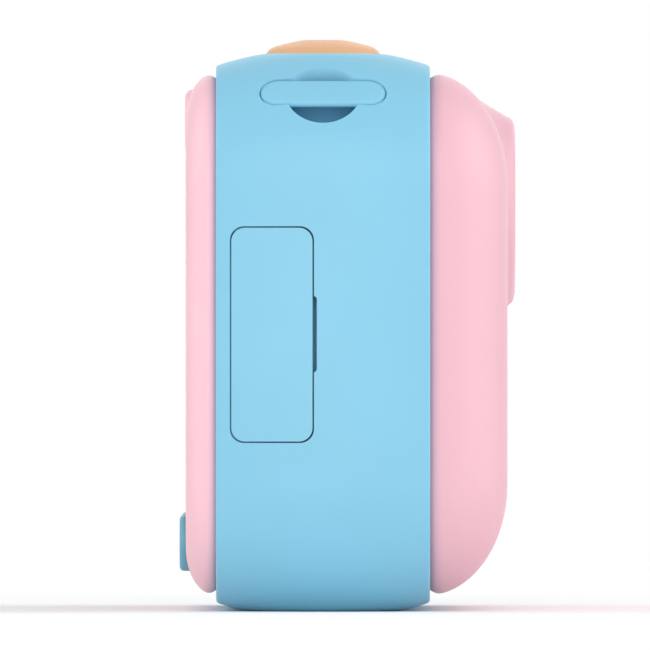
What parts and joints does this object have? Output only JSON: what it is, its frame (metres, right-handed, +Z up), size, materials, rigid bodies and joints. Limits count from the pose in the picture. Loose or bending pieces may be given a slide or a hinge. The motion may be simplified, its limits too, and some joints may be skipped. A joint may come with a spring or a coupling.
{
  "type": "kids digital camera",
  "caption": "Compact rounded kids digital camera with a crowned middle frame, raised lens bump, rear screen and keys, side port cover, strap bars and a top shutter button.",
  "frame": {"origin": "centre of the bounding box, on the flat base that it stands on", "axes": "+Z up, +Y from the lens towards the screen, +X to the camera's left hand as its lens looks along -Y (the port cover is on the -X side)"},
  "size_m": [0.086, 0.0362, 0.0615],
  "materials": {
    "body_blue": "satin moulded ABS, sky blue",
    "shell_pink": "satin moulded ABS, pale pink",
    "button_orange": "satin moulded ABS, soft orange",
    "button_blue": "satin moulded ABS, sky blue",
    "tpu_blue": "soft TPU, sky blue",
    "black_plastic": "matt black nylon",
    "steel": "plated sheet steel",
    "screen_glass": "clear acrylic with a printed black border",
    "lens_glass": "coated glass",
    "clear_plastic": "clear acrylic",
    "lcd_black": "switched-off display",
    "white_plastic": "white polycarbonate",
    "foam_black": "closed-cell foam",
    "pcb_green": "solder mask over glass fibre",
    "chip_black": "moulded epoxy",
    "connector_cream": "nylon",
    "flex_amber": "polyimide film",
    "battery_silver": "aluminium laminate pouch",
    "tape_white": "double-sided foam tape",
    "red_wire": "PVC insulation",
    "black_wire": "PVC insulation",
    "led_yellow": "phosphor under silicone",
    "cone_black": "mylar film",
    "magnet_grey": "nickel-plated magnet",
    "sensor_blue": "image sensor under glass",
    "brass": "turned brass"
  },
  "bodies": {
    "root": {"middle_frame": "body_blue", "front_cover": "shell_pink", "rear_cover": "shell_pink", "port_cover_tether": "tpu_blue", "strap_bar_left": "body_blue", "strap_bar_right": "body_blue", "shutter_switch": "steel", "shutter_board": "pcb_green", "shutter_flex": "flex_amber", "button_switches": "steel", "screen_window": "screen_glass", "screen_gasket": "foam_black", "lcd_panel": "lcd_black", "lcd_backlight": "white_plastic", "lcd_flex": "flex_amber", "lens_ring": "steel", "lens_window": "lens_glass", "lens_hood": "black_plastic", "lens_barrel": "black_plastic", "lens_elements": "lens_glass", "camera_housing": "black_plastic", "image_sensor": "sensor_blue", "camera_board": "pcb_green", "camera_flex": "flex_amber", "camera_bracket": "steel", "flash_window": "clear_plastic", "flash_board": "white_plastic", "flash_led": "led_yellow", "flash_leads": "red_wire", "selfie_window": "lens_glass", "selfie_barrel": "black_plastic", "selfie_housing": "black_plastic", "main_board": "pcb_green", "board_chips": "chip_black", "board_connectors": "connector_cream", "usb_socket": "steel", "card_socket": "steel", "battery": "battery_silver", "battery_pad": "tape_white", "battery_leads": "red_wire", "speaker_basket": "steel", "speaker_cone": "cone_black", "speaker_magnet": "magnet_grey", "speaker_leads": "black_wire", "case_screws": "steel", "board_screws": "steel", "tripod_nut": "brass"},
    "shutter": {"shutter_button": "button_orange", "shutter_plunger": "black_plastic"},
    "menu_key": {"menu_button": "button_blue", "menu_plunger": "black_plastic"},
    "left_key": {"left_button": "button_blue", "left_plunger": "black_plastic"},
    "ok_key": {"ok_button": "button_blue", "ok_plunger": "black_plastic"},
    "right_key": {"right_button": "button_blue", "right_plunger": "black_plastic"},
    "play_key": {"play_button": "button_blue", "play_plunger": "black_plastic"},
    "port_door": {"port_cover": "tpu_blue"}
  },
  "joints": [
    {"name": "shutter_press", "type": "slide", "parent": "root", "child": "shutter", "axis": [0, 0, -1], "range_m": [0, 0.0006], "stiffness_N_per_m": 1500, "springref_m": -0.001},
    {"name": "menu_press", "type": "slide", "parent": "root", "child": "menu_key", "axis": [0, -1, 0], "range_m": [0, 0.0004], "stiffness_N_per_m": 1500, "springref_m": -0.001},
    {"name": "left_press", "type": "slide", "parent": "root", "child": "left_key", "axis": [0, -1, 0], "range_m": [0, 0.0004], "stiffness_N_per_m": 1500, "springref_m": -0.001},
    {"name": "ok_press", "type": "slide", "parent": "root", "child": "ok_key", "axis": [0, -1, 0], "range_m": [0, 0.0004], "stiffness_N_per_m": 1500, "springref_m": -0.001},
    {"name": "right_press", "type": "slide", "parent": "root", "child": "right_key", "axis": [0, -1, 0], "range_m": [0, 0.0004], "stiffness_N_per_m": 1500, "springref_m": -0.001},
    {"name": "play_press", "type": "slide", "parent": "root", "child": "play_key", "axis": [0, -1, 0], "range_m": [0, 0.0004], "stiffness_N_per_m": 1500, "springref_m": -0.001},
    {"name": "port_cover_swing", "type": "hinge", "parent": "root", "child": "port_door", "pos_m": [-0.04167, 0.01253, 0.02975], "axis": [0, 0, -1], "range_deg": [0, 115]}
  ]
}
